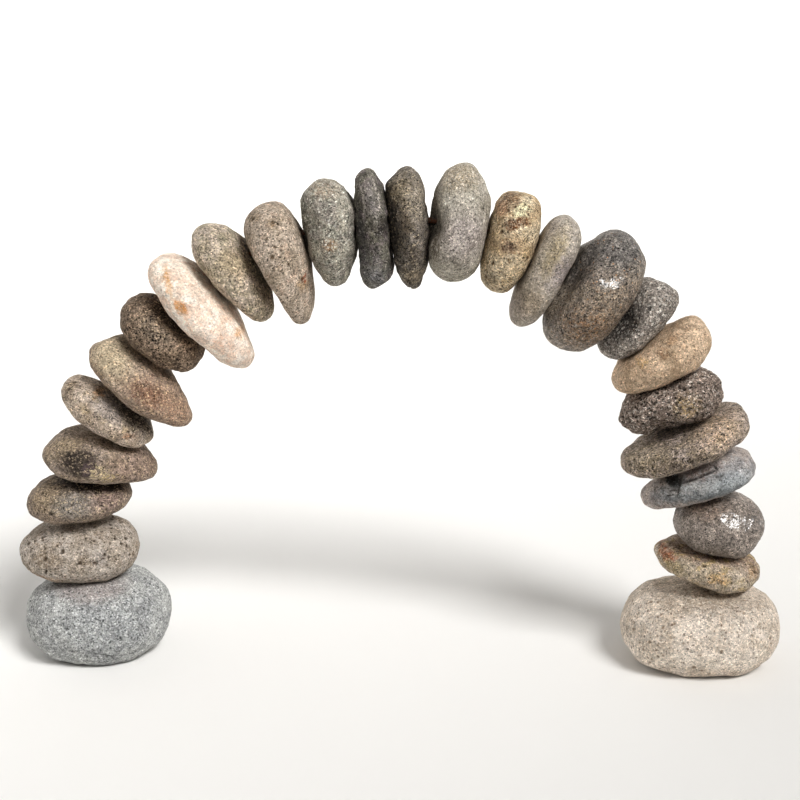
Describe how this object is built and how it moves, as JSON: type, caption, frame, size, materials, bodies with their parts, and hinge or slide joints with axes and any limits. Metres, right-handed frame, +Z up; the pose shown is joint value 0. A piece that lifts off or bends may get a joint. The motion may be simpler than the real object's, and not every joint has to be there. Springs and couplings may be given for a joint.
{
  "type": "river stone arch",
  "caption": "Free-standing garden arch of rounded river stones threaded on a bent steel rod, on two larger base stones.",
  "frame": {"origin": "on the surface that the arch stands on, below the middle of its bounding box", "axes": "+X from the left foot to the right foot, +Y from the front to the back, +Z up"},
  "size_m": [0.6776, 0.129, 0.4413],
  "materials": {
    "left_base_stone": "light grey granite, rounded by water, matt with dark and white grains",
    "beige_pitted_stone": "beige grey, matt, with small dark brown pits",
    "mottled_thin_stone": "brown grey mottled with yellow brown, matt, pitted",
    "brown_blotched_stone": "warm brown with one charcoal blotch and yellow flecks",
    "grey_tan_stone": "grey tan, matt, with pits at one tip",
    "brown_speckled_stone": "brown with reddish speckles, matt",
    "dark_brown_stone": "dark brown mottled, matt",
    "cream_stone": "cream white, slightly pink, with ochre streaks",
    "olive_grey_stone": "olive grey and tan, matt",
    "beige_brown_stone": "beige grey with brown pits and one orange spot",
    "green_grey_stone": "green grey granite with light flecks",
    "veined_slate_stone": "dark purple grey slate with pale veins",
    "thin_dark_stone": "dark brown with tan patches",
    "light_grey_stone": "light grey with faint purple tints",
    "rust_yellow_stone": "yellow tan with rust brown patches and dark specks",
    "smooth_grey_stone": "smooth grey, tan in the middle",
    "large_dark_stone": "dark grey with brown and orange mottling, semi gloss",
    "speckled_granite_stone": "grey granite, finely speckled",
    "warm_tan_stone": "warm tan, matt",
    "rough_dark_stone": "dark grey, rough and speckled, with a yellow tan patch",
    "bent_brown_stone": "brown tan, matt",
    "blue_slate_stone": "blue grey slate with cracks",
    "glossy_grey_stone": "grey brown, glossy where water has polished it",
    "ochre_tan_stone": "tan with ochre and orange brown mottling",
    "right_base_stone": "cream boulder with many small brown and dark specks, matt",
    "steel": "plain round bar, dulled and lightly rusted"
  },
  "bodies": {
    "root": {"left_base_stone": "left_base_stone", "beige_pitted_stone": "beige_pitted_stone", "mottled_thin_stone": "mottled_thin_stone", "brown_blotched_stone": "brown_blotched_stone", "grey_tan_stone": "grey_tan_stone", "brown_speckled_stone": "brown_speckled_stone", "dark_brown_stone": "dark_brown_stone", "cream_stone": "cream_stone", "olive_grey_stone": "olive_grey_stone", "beige_brown_stone": "beige_brown_stone", "green_grey_stone": "green_grey_stone", "veined_slate_stone": "veined_slate_stone", "thin_dark_stone": "thin_dark_stone", "light_grey_stone": "light_grey_stone", "rust_yellow_stone": "rust_yellow_stone", "smooth_grey_stone": "smooth_grey_stone", "large_dark_stone": "large_dark_stone", "speckled_granite_stone": "speckled_granite_stone", "warm_tan_stone": "warm_tan_stone", "rough_dark_stone": "rough_dark_stone", "bent_brown_stone": "bent_brown_stone", "blue_slate_stone": "blue_slate_stone", "glossy_grey_stone": "glossy_grey_stone", "ochre_tan_stone": "ochre_tan_stone", "right_base_stone": "right_base_stone", "steel_rod": "steel"}
  },
  "joints": []
}
